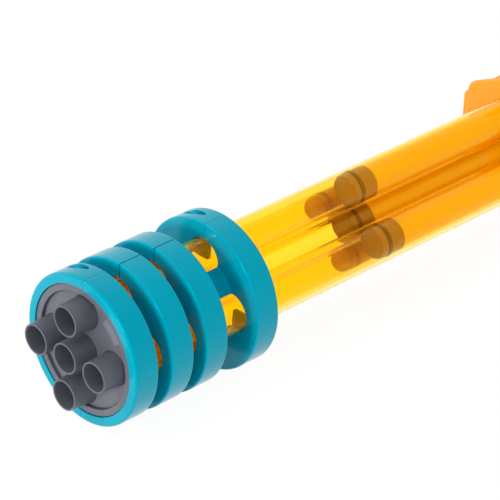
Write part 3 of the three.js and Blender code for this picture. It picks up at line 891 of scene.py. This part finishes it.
def make_front_plate():
    plate = turned("visual_front_plate", front_plate_profile(), steps=FINE_STEPS)
    tab_front = RIM_X + TAB_SET_BACK
    stations = [(tab_front + depth, inset) for depth, inset in TAB_EDGE]
    stations.append((PLATE_BACK_X - TAB_ROOT, 0))
    plate = carved(plate, [lofted("tab", tab_outline(), stations)], "UNION")
    return carved(plate, bores("nozzle_hole", straight(0, BEYOND_PLATE, NOZZLE_HOLE)))


def paint_lit_tab(plate):
    """Paint the tab's faces, which stand above the floor inside the rim, a lighter grey: painted
    light against the shaded floor.
    """
    plate.data.materials.append(lit_tab_finish)
    axis = spot(0, 0, 0)
    for face in plate.data.polygons:
        place = face.center - axis
        inside = math.hypot(place.y, place.z) < (RIM_INNER - TAB_MARGIN) * MM
        if inside and place.x < (PLATE_FLOOR_X - TAB_LIFT) * MM:
            face.material_index = 1


front_plate = make_front_plate()
dressed(front_plate, "front_plate", FIXED, grey_finish)
paint_lit_tab(front_plate)
print("front plate:", len(front_plate.data.polygons), "faces")

# %% [markdown]
# ## Ring cage
#
# The cage is the most skilled moulding of the toy: a thin skin that swells into four rings and
# draws in to a narrow core between them. The barrels are wider than the core, so they break
# through it and show between the rings. The skin is turned in one piece, the barrels are cut out
# of it, and then it is split into the two halves that screws hold together.

# %% Cage profile
RING_LENGTHS = (14.9, 14.3, 14.3, 14.5)
RING_RADII = (41.3, 41.3, 41.3, 42.0)
GROOVES = (9.3, 8.8, 19.8, 0)
CORE_RADIUS = 24.5
CAGE_WALL = 2.2
RING_FRONT_ROUNDS = (2.0, 1.0, 1.0, 1.0)
RING_BACK_ROUND = 1.2
CORE_ROUND = 2.0
OPENING_ROUND = 0.3
LEDGE_WIDTH = 5.8
BARREL_CLEARANCE = 0.45
SLOT_SQUEEZE = 0.5
PLATE_OPENING = PLATE_RADIUS + SEAT_GAP
LIP_RADIUS = PLATE_EDGE_RADIUS + SEAT_GAP
LEDGE_X = PLATE_BACK_X + SEAT_GAP
LEDGE_INNER = LIP_RADIUS - LEDGE_WIDTH
BARREL_HOLE = barrel_radius + BARREL_CLEARANCE
SLOT_HALF = barrel_radius - SLOT_SQUEEZE


def ring_places():
    """Front, back and radius of each ring, from the front of the cage."""
    places = []
    front = reach("cage_left")[0]
    for length, radius, groove in zip(RING_LENGTHS, RING_RADII, GROOVES):
        places.append((front, front + length, radius))
        front += length + groove
    return places


RINGS = ring_places()


def cage_outside():
    """The skin's outside from back to front, as corners with the round at each."""
    corners = [(RINGS[-1][1], 0, 0)]
    for i in reversed(range(len(RINGS))):
        start, end, radius = RINGS[i]
        if i < len(RINGS) - 1:
            corners.append((end, CORE_RADIUS, CORE_ROUND))
        corners.append((end, radius, RING_BACK_ROUND))
        corners.append((start, radius, RING_FRONT_ROUNDS[i]))
        if i > 0:
            corners.append((start, CORE_RADIUS, CORE_ROUND))
    corners.append((RINGS[0][0], PLATE_OPENING, OPENING_ROUND))
    return corners


def cage_inside():
    """The skin's inside from front to back, with the seat of the front plate."""
    lip_front = PLATE_FLOOR_X - SEAT_GAP
    places = [
        (lip_front, PLATE_OPENING),
        (lip_front, LIP_RADIUS),
        (LEDGE_X, LIP_RADIUS),
        (LEDGE_X, LEDGE_INNER),
        (LEDGE_X + CAGE_WALL, LEDGE_INNER),
        (LEDGE_X + CAGE_WALL, RINGS[0][2] - CAGE_WALL),
    ]
    for i, (start, end, radius) in enumerate(RINGS):
        if i > 0:
            places.append((start + CAGE_WALL, CORE_RADIUS - CAGE_WALL))
            places.append((start + CAGE_WALL, radius - CAGE_WALL))
        places.append((end - CAGE_WALL, radius - CAGE_WALL))
        if i < len(RINGS) - 1:
            places.append((end - CAGE_WALL, CORE_RADIUS - CAGE_WALL))
    places.append((RINGS[-1][1] - CAGE_WALL, 0))
    return [(*place, 0) for place in places]


def cage_skin():
    profile = rounded(cage_outside() + cage_inside(), steps=6)
    return turned("visual_cage", profile, steps=FINE_STEPS)


# %% [markdown]
# The barrels snap into the halves from the seam, so the walls inside the rings are cut to a cross
# of slots. Each screw runs through a solid land under the skin of its ring. The head lies at the
# bottom of a counterbore that opens on the right hand side, which is the small round eye near the
# seam.

# %% Screw lands and screw holes
SCREW_RADIUS = 1.4
SCREW_HEAD = 2.7
HEAD_HEIGHT = 2.2
SCREW_TIP, SCREW_TOP = reach("cage_screw_front_top", 1)
SCREW_SEAT = SCREW_TOP - HEAD_HEIGHT
SCREW_STEPS = 48
HOLE_PHASE = 0.017
OPEN_SIDE = 60
LAND_HALF = 16.0
LAND_MARGIN = 4.7
LAND_STEPS = 16
CAGE_SCREWS = ("front_top", "front_bottom", "back_top", "back_bottom")
HOUSING_SCREWS = ("foot_front", "foot_back", "leg_front", "leg_back")


def screw_hole(node):
    """A stepped cutter along Y, as deep as the screw and open on the right hand side."""
    tip, head_seat = SCREW_TIP - SEAT_GAP, SCREW_SEAT - SEAT_GAP
    shank, head = SCREW_RADIUS + SEAT_GAP, SCREW_HEAD + SEAT_GAP
    profile = [
        (tip, 0),
        (tip, shank),
        (head_seat, shank),
        (head_seat, head),
        (OPEN_SIDE, head),
        (OPEN_SIDE, 0),
    ]
    place = (middle(node, 0), middle(node, 2))
    return turned("screw_hole", profile, place, steps=SCREW_STEPS, across=True, phase=HOLE_PHASE)


def cage_land(node, ring):
    """A solid block under a ring's skin, with room for one screw."""
    start, end, radius = ring
    x, z = middle(node, 0), middle(node, 2)
    up = math.copysign(1, z)
    outer = radius - CAGE_WALL / 2
    base = abs(z) - LAND_MARGIN
    half_turn = math.asin(LAND_HALF / outer)
    turns = [half_turn - 2 * half_turn * i / LAND_STEPS for i in range(LAND_STEPS + 1)]
    arc = [Vector((outer * math.sin(turn), up * outer * math.cos(turn))) for turn in turns]
    outline = [Vector((-LAND_HALF, up * base)), Vector((LAND_HALF, up * base)), *arc]
    low = (max(start, LEDGE_X) if ring is RINGS[0] else start) + CAGE_WALL / 2
    high = end - CAGE_WALL / 2
    stations = [(max(low, x - LAND_MARGIN), 0), (min(high, x + LAND_MARGIN), 0)]
    return lofted("screw_land", outline, stations)


# %% Build the cage
OPEN_SEAM = 0.7
SEAM_OVERLAP = 0.5
BEYOND_CAGE = 150
BEYOND_RINGS = 50


def make_cage():
    cage = cage_skin()
    lands = []
    holes = []
    for title in CAGE_SCREWS:
        ring = RINGS[0] if title.startswith("front") else RINGS[-1]
        lands.append(cage_land("cage_screw_" + title, ring))
        holes.append(screw_hole("cage_screw_" + title))
    cage = carved(cage, lands, "UNION")
    holes += bores("barrel_hole", straight(PLATE_BACK_X, BEYOND_CAGE, BARREL_HOLE))
    pitch = seat_place["top"][1]
    for wide, high in ((SLOT_HALF, pitch), (pitch, SLOT_HALF)):
        holes.append(slab("slots", (PLATE_BACK_X, -wide, -high), (BEYOND_CAGE, wide, high)))
    half = OPEN_SEAM / 2
    for start, end, _ in RINGS[1:3]:
        low = (start - SEAM_OVERLAP, -half, -BEYOND_RINGS)
        holes.append(slab("open_seam", low, (end + SEAM_OVERLAP, half, BEYOND_RINGS)))
    cage = carved(cage, holes)
    return halves(cage, "cage")


dress_halves(make_cage(), "cage", FIXED, teal_finish, edge=0.25)

# %% [markdown]
# ## Screws
#
# All twelve screws are alike: a low round head with a cross, and a plain shank that the plastic
# hides. One mesh is made and shared, and each screw sets it at its own place.

# %% Make the screws
HEAD_DOME = 0.55
CROSS_HALF, CROSS_BAR = 1.5, 0.35
CROSS_FLOOR, CROSS_TOP = SCREW_SEAT + 0.9, SCREW_SEAT + 3


def screw_mesh():
    corners = [
        (SCREW_TIP, 0, 0),
        (SCREW_TIP + SCREW_RADIUS, SCREW_RADIUS, 0.2),
        (SCREW_SEAT, SCREW_RADIUS, 0),
        (SCREW_SEAT, SCREW_HEAD, 0.2),
        (SCREW_SEAT + HEAD_HEIGHT * HEAD_DOME, SCREW_HEAD, 0.7),
        (SCREW_SEAT + HEAD_HEIGHT, SCREW_HEAD * HEAD_DOME, 0.8),
        (SCREW_SEAT + HEAD_HEIGHT, 0, 0),
    ]
    screw = turned("screw", rounded(corners, steps=4), steps=SCREW_STEPS, across=True)
    bars = []
    for x, z in ((CROSS_HALF, CROSS_BAR), (CROSS_BAR, CROSS_HALF)):
        bars.append(slab("cross", (-x, CROSS_FLOOR, -z), (x, CROSS_TOP, z)))
    screw = carved(screw, bars)
    mesh = screw.data
    bpy.data.objects.remove(screw)
    return mesh


def place_screws(nodes, body):
    for node in nodes:
        screw = placed("visual_" + node, SCREW_MESH)
        screw.location = (middle(node, 0) * MM, 0, middle(node, 2) * MM)
        dressed(screw, node, body, steel_finish)


SCREW_MESH = screw_mesh()
place_screws(["cage_screw_" + title for title in CAGE_SCREWS], FIXED)
place_screws(["housing_screw_" + title for title in HOUSING_SCREWS], FIXED)
place_screws(["grip_screw_" + title for title in CAGE_SCREWS], MOVING)
print("screws:", len(CAGE_SCREWS) * 2 + len(HOUSING_SCREWS))

# %% [markdown]
# ## Barrels, plungers, pistons and seals
#
# The barrels and the plunger tubes are plain pipes with softened ends, the barrels clear and the
# plungers cloudy. The front end of a plunger sits in a ring shaped socket of its piston, and a
# rubber ring in a groove seals the bore.

# %% Turn the pipes
PIPE_WALL = 1.0
PIPE_ROUND = 0.25
PIPE_STEPS = 128


def pipe(name, radius, front, back, seat):
    inner = radius - PIPE_WALL
    corners = [(back, inner), (front, inner), (front, radius), (back, radius)]
    profile = soften(corners, PIPE_ROUND, closed=True, steps=3)
    return turned(name, profile, seat_place[seat], closed=True, steps=PIPE_STEPS)


for seat in SEATS:
    barrel = pipe("visual_barrel_" + seat, barrel_radius, barrel_front, barrel_back, seat)
    dressed(barrel, "barrel_" + seat, FIXED, barrel_finish)
    plunger = pipe("visual_plunger_" + seat, plunger_radius, plunger_front, plunger_back, seat)
    dressed(plunger, "plunger_" + seat, MOVING, plunger_finish)
print("pipes of", len(barrel.data.polygons), "faces")

# %% Turn the pistons and seals
PISTON_FRONT, PISTON_BACK = reach("piston_center")
PISTON_RADIUS = radius_of("piston_center")
SOCKET_X = plunger_front - SEAT_GAP
SOCKET_INNER = plunger_radius - PIPE_WALL - SEAT_GAP
SOCKET_OUTER = plunger_radius + SEAT_GAP
SEAL_X = middle("piston_seal_center", 0)
SEAL_OUTER = radius_of("piston_seal_center")
SEAL_SECTION = 1.1
GROOVE = SEAL_OUTER - 2 * SEAL_SECTION - SEAT_GAP
GROOVE_HALF = SEAL_SECTION + SEAT_GAP


def piston_profile():
    corners = [
        (PISTON_FRONT, 0, 0),
        (PISTON_FRONT, PISTON_RADIUS, 1.2),
        (SEAL_X - GROOVE_HALF, PISTON_RADIUS, 0.25),
        (SEAL_X - GROOVE_HALF, GROOVE, 0),
        (SEAL_X + GROOVE_HALF, GROOVE, 0),
        (SEAL_X + GROOVE_HALF, PISTON_RADIUS, 0.25),
        (PISTON_BACK, PISTON_RADIUS, 0.2),
        (PISTON_BACK, SOCKET_OUTER, 0.1),
        (SOCKET_X, SOCKET_OUTER, 0),
        (SOCKET_X, SOCKET_INNER, 0),
        (PISTON_BACK, SOCKET_INNER, 0.3),
        (PISTON_BACK, 0, 0),
    ]
    return rounded(corners, steps=4)


def seal_profile(steps=16):
    thick, middle_radius = SEAL_SECTION, SEAL_OUTER - SEAL_SECTION
    turns = [2 * math.pi * i / steps for i in range(steps)]
    return [(SEAL_X + thick * math.sin(a), middle_radius + thick * math.cos(a)) for a in turns]


for seat in SEATS:
    piston = turned("visual_piston_" + seat, piston_profile(), seat_place[seat])
    dressed(piston, "piston_" + seat, MOVING, piston_finish)
    seal = turned("visual_seal_" + seat, seal_profile(), seat_place[seat], closed=True)
    dressed(seal, "piston_seal_" + seat, MOVING, rubber_finish)
print("pistons from", round(PISTON_FRONT, 1), "to", round(PISTON_BACK, 1))

# %% [markdown]
# ## Rear housing
#
# The housing has a roofed outline, a raised panel on each cheek and a loop on top to carry the
# toy by. Its outline is lofted along X with rounded ends, the loop is lofted across the toy, and
# the finger gap is cut with a cutter that widens at both sides, so its edges come out round. The
# photograph shows nothing above the upper edge of the flat front, so the front is a rim, and the
# roof dips behind it on both sides of the loop. The room inside keeps clear of the dips.

# %% Housing outline
HOUSING_HALF_WIDTH = 36.2
HOUSING_RIDGE = 44.3
HOUSING_FOOT = reach("housing_left", 2)[0]
FOOT_HALF_WIDTH = 22.0
CHEEK_LOW = -27.0
ROOF_ANGLE = 27.5
HOUSING_WALL = 2.5
HOUSING_CORNER = 5.0
HOUSING_EDGE = 1.6
SHOULDER = HOUSING_RIDGE - HOUSING_HALF_WIDTH * math.tan(math.radians(ROOF_ANGLE))
HOUSING_CORNERS = [
    (FOOT_HALF_WIDTH, HOUSING_FOOT),
    (HOUSING_HALF_WIDTH, CHEEK_LOW),
    (HOUSING_HALF_WIDTH, SHOULDER),
    (0, HOUSING_RIDGE),
    (-HOUSING_HALF_WIDTH, SHOULDER),
    (-HOUSING_HALF_WIDTH, CHEEK_LOW),
    (-FOOT_HALF_WIDTH, HOUSING_FOOT),
]
PANEL_PROUD = 3.3
PANEL_ROUND = 3.1
PANEL_HALF_HEIGHT = 19.0
PANEL_ROOT = 2.1
PANEL_SET_IN = 1
PANEL_END_ROUND = 1.5
LOOP_HALF = 13.0
LOOP_EDGE = 3.2


def cheek_panel(side):
    outer = HOUSING_HALF_WIDTH + PANEL_PROUD
    inner = HOUSING_HALF_WIDTH - PANEL_ROOT
    high = PANEL_HALF_HEIGHT
    corners = [(inner, -high), (outer, -high), (outer, high), (inner, high)]
    if side < 0:
        corners = [(-y, z) for y, z in reversed(corners)]
    sizes = [0 if abs(y) == inner else PANEL_ROUND for y, _ in corners]
    front, back = housing_front + PANEL_SET_IN, housing_back - PANEL_SET_IN
    stations = round_ends(front, back, PANEL_END_ROUND)
    return lofted("cheek_panel", soften(corners, sizes, closed=True), stations)


# %% Dips in the roof
DIP_DEPTH = 5.6
DIP_FRONT = housing_front + 2.8
DIP_BACK = housing_front + 28
DIP_SIDE = LOOP_HALF + 1
DIP_OVERLAP = 0.2
DIP_OPEN = 30


def roof_dip(side, grow=0.0):
    """A cutter behind the front rim on one slope of the roof, or a grown one for its wall."""
    slope = math.tan(math.radians(ROOF_ANGLE))
    drop = (DIP_DEPTH + grow) / math.cos(math.radians(ROOF_ANGLE))
    near, far = DIP_SIDE - grow, HOUSING_HALF_WIDTH + DIP_OVERLAP
    corners = []
    for y, lift in ((near, 0), (far, 0), (far, DIP_OPEN), (near, DIP_OPEN)):
        corners.append(Vector((side * y, HOUSING_RIDGE - slope * y - drop + lift)))
    return lofted("roof_dip", corners, [(DIP_FRONT - grow, 0), (DIP_BACK + grow, 0)])


# %% Top loop
TOP_SET_IN = 8
TOP_FRONT = housing_front + TOP_SET_IN
TOP_BACK = housing_back - TOP_SET_IN
TOP_LEAN = 6.0
TOP_LEG = 14.0
TOP_ROOT = 8
TOP_ROUND = 16
FINGER_GAP = 30
FINGER_GAP_LIFT = 0.01
FINGER_GAP_ROUND = 10
LOOP_STEPS = 10
BEYOND_LOOP = 20
TOP_BAR_LOW = HOUSING_RIDGE + FINGER_GAP
TOP_BAR_HIGH = reach("housing_left", 2)[1]


def loop_solid(name, corners, sizes):
    """A loop's outside, lofted across the toy with rounded edges."""
    outline = soften(corners, sizes, closed=True, steps=LOOP_STEPS)
    stations = round_ends(-LOOP_HALF, LOOP_HALF, LOOP_EDGE)
    return lofted(name, outline, stations, across=True)


def loop_gap(name, corners, size):
    """The cutter for a loop's opening, which leaves rounded edges."""
    outline = soften(corners, size, closed=True, steps=LOOP_STEPS)
    stations = flared_ends(-LOOP_HALF, LOOP_HALF, LOOP_EDGE, BEYOND_LOOP)
    return lofted(name, outline, stations, across=True)


def top_loop():
    root = HOUSING_RIDGE - TOP_ROOT
    corners = [
        (TOP_FRONT, root),
        (TOP_BACK, root),
        (TOP_BACK - TOP_LEAN, TOP_BAR_HIGH),
        (TOP_FRONT + TOP_LEAN, TOP_BAR_HIGH),
    ]
    return loop_solid("top_loop", corners, [0, 0, TOP_ROUND, TOP_ROUND])


def top_gap():
    floor_z = HOUSING_RIDGE + FINGER_GAP_LIFT
    corners = [
        (TOP_FRONT + TOP_LEG, floor_z),
        (TOP_BACK - TOP_LEG, floor_z),
        (TOP_BACK - TOP_LEG - TOP_LEAN / 2, TOP_BAR_LOW),
        (TOP_FRONT + TOP_LEG + TOP_LEAN / 2, TOP_BAR_LOW),
    ]
    return loop_gap("top_gap", corners, FINGER_GAP_ROUND)


# %% Build the housing
AHEAD_OF_HOUSING, BEYOND_HOUSING = 300, 460
PLUNGER_CLEARANCE = 0.5
BORE_OVERLAP = 1


def make_housing():
    outline = soften(HOUSING_CORNERS, HOUSING_CORNER, closed=True)
    body = lofted("visual_housing", outline, round_ends(housing_front, housing_back, HOUSING_EDGE))
    loop = carved(top_loop(), [top_gap()])
    body = carved(body, [loop, cheek_panel(1), cheek_panel(-1)], "UNION")
    body = carved(body, [roof_dip(1), roof_dip(-1)])
    inner_corners = drawn_in([Vector(corner) for corner in HOUSING_CORNERS], HOUSING_WALL)
    inner = soften(inner_corners, HOUSING_CORNER, closed=True)
    room = [(housing_front + HOUSING_WALL, 0), (housing_back - HOUSING_WALL, 0)]
    dip_walls = [roof_dip(1, HOUSING_WALL), roof_dip(-1, HOUSING_WALL)]
    body = carved(body, [carved(lofted("room", inner, room), dip_walls)])
    lands = []
    holes = []
    for title in HOUSING_SCREWS:
        node = "housing_screw_" + title
        x, z = middle(node, 0), middle(node, 2)
        if title.startswith("foot"):
            low = (x - LAND_MARGIN, -LAND_HALF, HOUSING_FOOT + HOUSING_WALL / 2)
            lands.append(slab("foot_land", low, (x + LAND_MARGIN, LAND_HALF, z + LAND_MARGIN)))
        holes.append(screw_hole(node))
    body = carved(body, lands, "UNION")
    plate_front, plate_back = reach("barrel_end_plate")
    holes += bores("barrel_hole", straight(AHEAD_OF_HOUSING, plate_front, BARREL_HOLE))
    rear = plunger_radius + PLUNGER_CLEARANCE
    holes += bores("plunger_hole", straight(plate_back - BORE_OVERLAP, BEYOND_HOUSING, rear))
    body = carved(body, holes)
    return halves(body, "housing")


dress_halves(make_housing(), "housing", FIXED, orange_finish, edge=0.3)

# %% [markdown]
# ## Plunger handle
#
# A round hub clamps the rear ends of the plunger tubes, and a loop behind it takes the hand. The
# hub is turned, the loop is made as the housing's, and the whole is split on the same plane.

# %% Handle parts
HUB_RADIUS = 38.0
HUB_LENGTH = 40
HUB_BACK = hub_front + HUB_LENGTH
HUB_ROUND = 4.0
HUB_WALL = 2.5
RIB_THICKNESS = 2
RIB_HEIGHT = 3
GRIP_HALF_HEIGHT = reach("handle_left", 2)[1]
GRIP_FRAME = 11.0
GRIP_WEB = 3
GRIP_GAP_LENGTH = 34
GRIP_NECK_ROUND, GRIP_ROUND, GRIP_GAP_ROUND = 3, 24, 11
GRIP_GAP_FRONT = HUB_BACK + GRIP_WEB
GRIP_GAP_BACK = GRIP_GAP_FRONT + GRIP_GAP_LENGTH
CARRIER_FRONT = reach("plunger_carrier")[0]


def hub_room():
    wide = HUB_RADIUS - HUB_WALL
    rib = CARRIER_FRONT - SEAT_GAP
    profile = [
        (hub_front + HUB_WALL, 0),
        (hub_front + HUB_WALL, wide - HUB_ROUND),
        (hub_front + HUB_WALL + HUB_ROUND, wide),
        (rib - RIB_THICKNESS, wide),
        (rib - RIB_THICKNESS, wide - RIB_HEIGHT),
        (rib, wide - RIB_HEIGHT),
        (rib, wide - HUB_ROUND / 2),
        (HUB_BACK - HUB_WALL, wide - HUB_ROUND / 2),
        (HUB_BACK - HUB_WALL, 0),
    ]
    return turned("hub_room", profile)


def grip_loop():
    front = HUB_BACK - HUB_ROUND - HUB_WALL
    high = GRIP_HALF_HEIGHT
    corners = [
        (front, -HUB_RADIUS),
        (GRIP_GAP_FRONT, -high),
        (grip_back, -high),
        (grip_back, high),
        (GRIP_GAP_FRONT, high),
        (front, HUB_RADIUS),
    ]
    rounds = [0, GRIP_NECK_ROUND, GRIP_ROUND, GRIP_ROUND, GRIP_NECK_ROUND, 0]
    return loop_solid("grip_loop", corners, rounds)


def grip_gap():
    high = GRIP_HALF_HEIGHT - GRIP_FRAME
    front, back = GRIP_GAP_FRONT, GRIP_GAP_BACK
    corners = [(front, -high), (back, -high), (back, high), (front, high)]
    return loop_gap("grip_gap", corners, GRIP_GAP_ROUND)


# %% Build the handle
AHEAD_OF_HUB = 560
HUB_BORE_BACK = CARRIER_FRONT - 5


def make_handle():
    profile = soften(straight(hub_front, HUB_BACK, HUB_RADIUS), HUB_ROUND, steps=8)
    hub = turned("visual_handle", profile, steps=FINE_STEPS)
    loop = carved(grip_loop(), [grip_gap()])
    body = carved(hub, [loop], "UNION")
    tools = [hub_room()]
    rear = plunger_radius + SEAT_GAP
    tools += bores("plunger_hole", straight(AHEAD_OF_HUB, HUB_BORE_BACK, rear))
    tools += [screw_hole("grip_screw_" + title) for title in CAGE_SCREWS]
    body = carved(body, tools)
    return halves(body, "handle")


dress_halves(make_handle(), "handle", MOVING, teal_finish, edge=0.3)

# %% [markdown]
# ## Inner plates
#
# The plate that holds the rear ends of the barrels and the disc that holds the plungers sit
# inside their shells. Their solids are right as they are and only take the grey finish.

# %% Finish the inner plates
for node in ("barrel_end_plate", "plunger_carrier"):
    plate = bpy.data.objects[node]
    plate.data.materials.clear()
    plate.data.materials.append(grey_finish)
print("inner plates wear", grey_finish.name)

# %% [markdown]
# ## Finish
#
# The view layer is updated once more at the end.

# %% Finish
bpy.context.view_layer.update()
